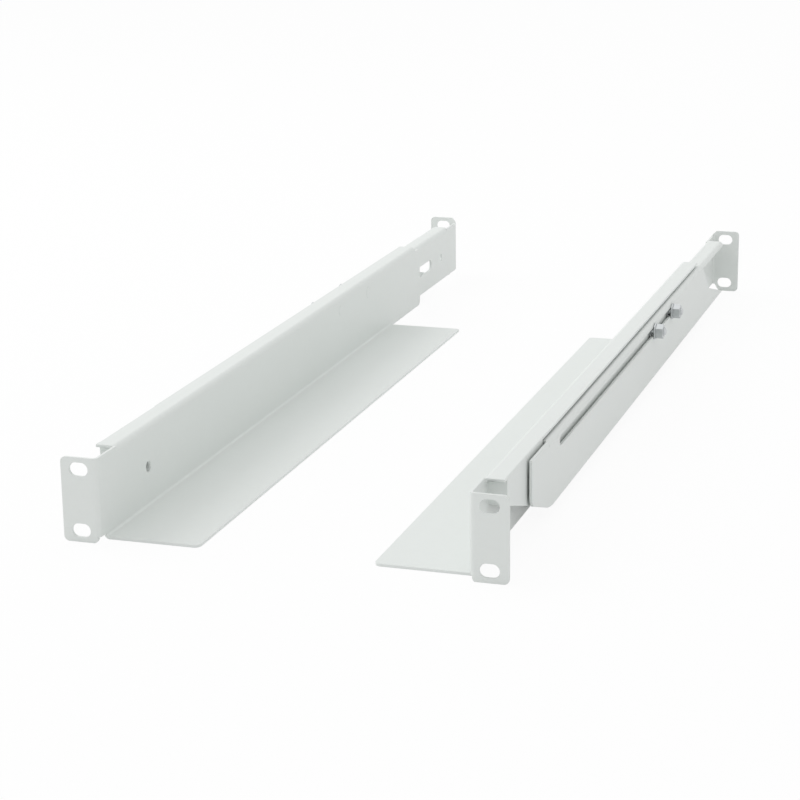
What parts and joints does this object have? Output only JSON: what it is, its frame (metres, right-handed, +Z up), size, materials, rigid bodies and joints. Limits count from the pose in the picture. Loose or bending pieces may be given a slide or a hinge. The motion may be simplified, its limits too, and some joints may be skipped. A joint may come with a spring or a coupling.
{
  "type": "adjustable rack rail pair",
  "caption": "Mirrored pair of L-shaped sheet-steel rack rails with slotted ears, a wide support ledge and a telescoping rear slider clamped by nuts.",
  "frame": {"origin": "bottom centre of the pair's box, on the floor between the rails, halfway along the closed length", "axes": "+X to the right rail, +Y from the front ears to the rear ears, +Z up"},
  "size_m": [0.2332, 0.628, 0.044],
  "materials": {
    "painted_steel": "satin powder coat",
    "zinc_steel": "bright zinc"
  },
  "bodies": {
    "front_rails": {"left_front_rail": "painted_steel", "left_fore_stud": "zinc_steel", "left_fore_sleeve": "zinc_steel", "left_fore_washer": "zinc_steel", "left_fore_nut": "zinc_steel", "left_aft_stud": "zinc_steel", "left_aft_sleeve": "zinc_steel", "left_aft_washer": "zinc_steel", "left_aft_nut": "zinc_steel", "right_front_rail": "painted_steel", "right_fore_stud": "zinc_steel", "right_fore_sleeve": "zinc_steel", "right_fore_washer": "zinc_steel", "right_fore_nut": "zinc_steel", "right_aft_stud": "zinc_steel", "right_aft_sleeve": "zinc_steel", "right_aft_washer": "zinc_steel", "right_aft_nut": "zinc_steel"},
    "left_slider": {"left_rear_slider": "painted_steel"},
    "right_slider": {"right_rear_slider": "painted_steel"}
  },
  "joints": [
    {"name": "left_slide", "type": "slide", "parent": "front_rails", "child": "left_slider", "axis": [0, 1, 0], "range_m": [0, 0.236]},
    {"name": "right_slide", "type": "slide", "parent": "front_rails", "child": "right_slider", "axis": [0, 1, 0], "range_m": [0, 0.236]}
  ]
}
